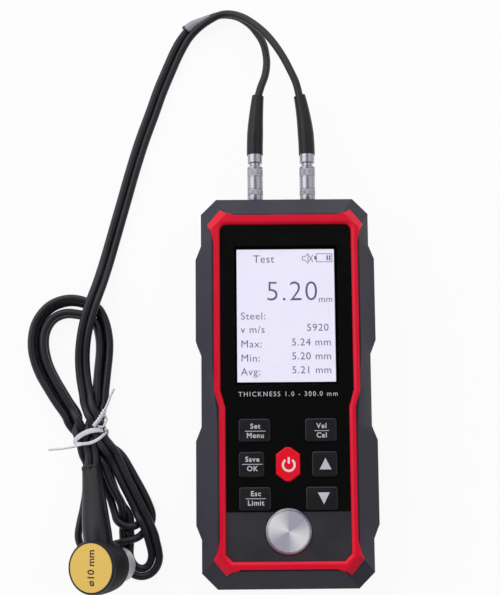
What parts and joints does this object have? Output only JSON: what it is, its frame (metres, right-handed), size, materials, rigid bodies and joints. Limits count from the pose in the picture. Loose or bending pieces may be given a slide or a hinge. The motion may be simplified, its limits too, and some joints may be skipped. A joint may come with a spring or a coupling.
{
  "type": "ultrasonic thickness gauge",
  "caption": "Hand-held ultrasonic thickness gauge with a red-framed screen, soft keys, a steel test disc, push-pull plugs and a knurled contact probe on a tied pair of leads.",
  "frame": {"origin": "middle of the back face, which lies on the table", "axes": "+Z out of the front face, +Y along the gauge towards its sockets, +X to the right of the screen"},
  "size_m": [0.1421, 0.2444, 0.0332],
  "materials": {
    "housing": "dark grey satin moulded plastic",
    "bezel": "red moulded plastic",
    "panel": "gloss black film",
    "window": "clear polished window",
    "display": "white display",
    "silicone": "translucent silicone",
    "keys": "dark grey silicone, matte",
    "power_key": "red silicone, satin",
    "board": "green circuit board",
    "black_plastic": "black moulded plastic",
    "test_steel": "turned steel",
    "nickel": "satin nickel plate",
    "insulator": "white insulator",
    "battery": "printed sleeve",
    "contacts": "plated spring metal",
    "screws": "zinc-plated steel",
    "lead_rubber": "black flexible jacket, satin",
    "collar": "shrink sleeve",
    "tie": "white plastic-coated wire",
    "black_anodised": "black anodised, knurled",
    "label": "gold foil",
    "tip_metal": "pale satin",
    "delay": "clear acrylic",
    "cork": "cork sheet",
    "crystal": "plated ceramic",
    "backing": "loaded resin"
  },
  "bodies": {
    "gauge": {"rear_housing": "housing", "front_housing": "housing", "red_bezel": "bezel", "front_panel": "panel", "display_window": "window", "lcd_module": "display", "keypad_mat": "silicone", "main_board": "board", "buzzer": "black_plastic", "test_block": "test_steel", "socket_left": "nickel", "socket_right": "nickel", "socket_insert_left": "insulator", "socket_insert_right": "insulator", "battery_1": "battery", "battery_2": "battery", "battery_3": "battery", "contact_springs": "contacts", "contact_plates": "contacts", "battery_door": "housing", "battery_door_screws": "screws", "housing_screws": "screws", "plug_body_left": "nickel", "plug_body_right": "nickel", "plug_nut_left": "nickel", "plug_nut_right": "nickel", "plug_boot_left": "lead_rubber", "plug_boot_right": "lead_rubber", "cable_left": "lead_rubber", "cable_right": "lead_rubber", "cable_hank": "lead_rubber", "cable_collar": "collar", "twist_tie": "tie", "probe_boot": "lead_rubber", "probe_barrel": "black_anodised", "probe_label": "label", "probe_sleeve": "tip_metal", "probe_delay_blocks": "delay", "probe_barrier": "cork", "probe_crystals": "crystal", "probe_backing": "backing"},
    "menu_key": {"key_menu": "keys"},
    "cal_key": {"key_cal": "keys"},
    "save_key": {"key_save": "keys"},
    "power_key": {"key_power": "power_key"},
    "up_key": {"key_up": "keys"},
    "back_key": {"key_back": "keys"},
    "down_key": {"key_down": "keys"},
    "left_latch": {"plug_sleeve_left": "nickel"},
    "right_latch": {"plug_sleeve_right": "nickel"}
  },
  "joints": [
    {"name": "press_menu", "type": "slide", "parent": "gauge", "child": "menu_key", "axis": [0, 0, -1], "range_m": [0, 0.0007], "stiffness_N_per_m": 400, "springref_m": -0.0004},
    {"name": "press_cal", "type": "slide", "parent": "gauge", "child": "cal_key", "axis": [0, 0, -1], "range_m": [0, 0.0007], "stiffness_N_per_m": 400, "springref_m": -0.0004},
    {"name": "press_save", "type": "slide", "parent": "gauge", "child": "save_key", "axis": [0, 0, -1], "range_m": [0, 0.0007], "stiffness_N_per_m": 400, "springref_m": -0.0004},
    {"name": "press_power", "type": "slide", "parent": "gauge", "child": "power_key", "axis": [0, 0, -1], "range_m": [0, 0.0007], "stiffness_N_per_m": 400, "springref_m": -0.0004},
    {"name": "press_up", "type": "slide", "parent": "gauge", "child": "up_key", "axis": [0, 0, -1], "range_m": [0, 0.0007], "stiffness_N_per_m": 400, "springref_m": -0.0004},
    {"name": "press_back", "type": "slide", "parent": "gauge", "child": "back_key", "axis": [0, 0, -1], "range_m": [0, 0.0007], "stiffness_N_per_m": 400, "springref_m": -0.0004},
    {"name": "press_down", "type": "slide", "parent": "gauge", "child": "down_key", "axis": [0, 0, -1], "range_m": [0, 0.0007], "stiffness_N_per_m": 400, "springref_m": -0.0004},
    {"name": "release_left", "type": "slide", "parent": "gauge", "child": "left_latch", "axis": [0, 1, 0], "range_m": [0, 0.0012], "stiffness_N_per_m": 400, "springref_m": -0.0004},
    {"name": "release_right", "type": "slide", "parent": "gauge", "child": "right_latch", "axis": [0, 1, 0], "range_m": [0, 0.0012], "stiffness_N_per_m": 400, "springref_m": -0.0004}
  ]
}
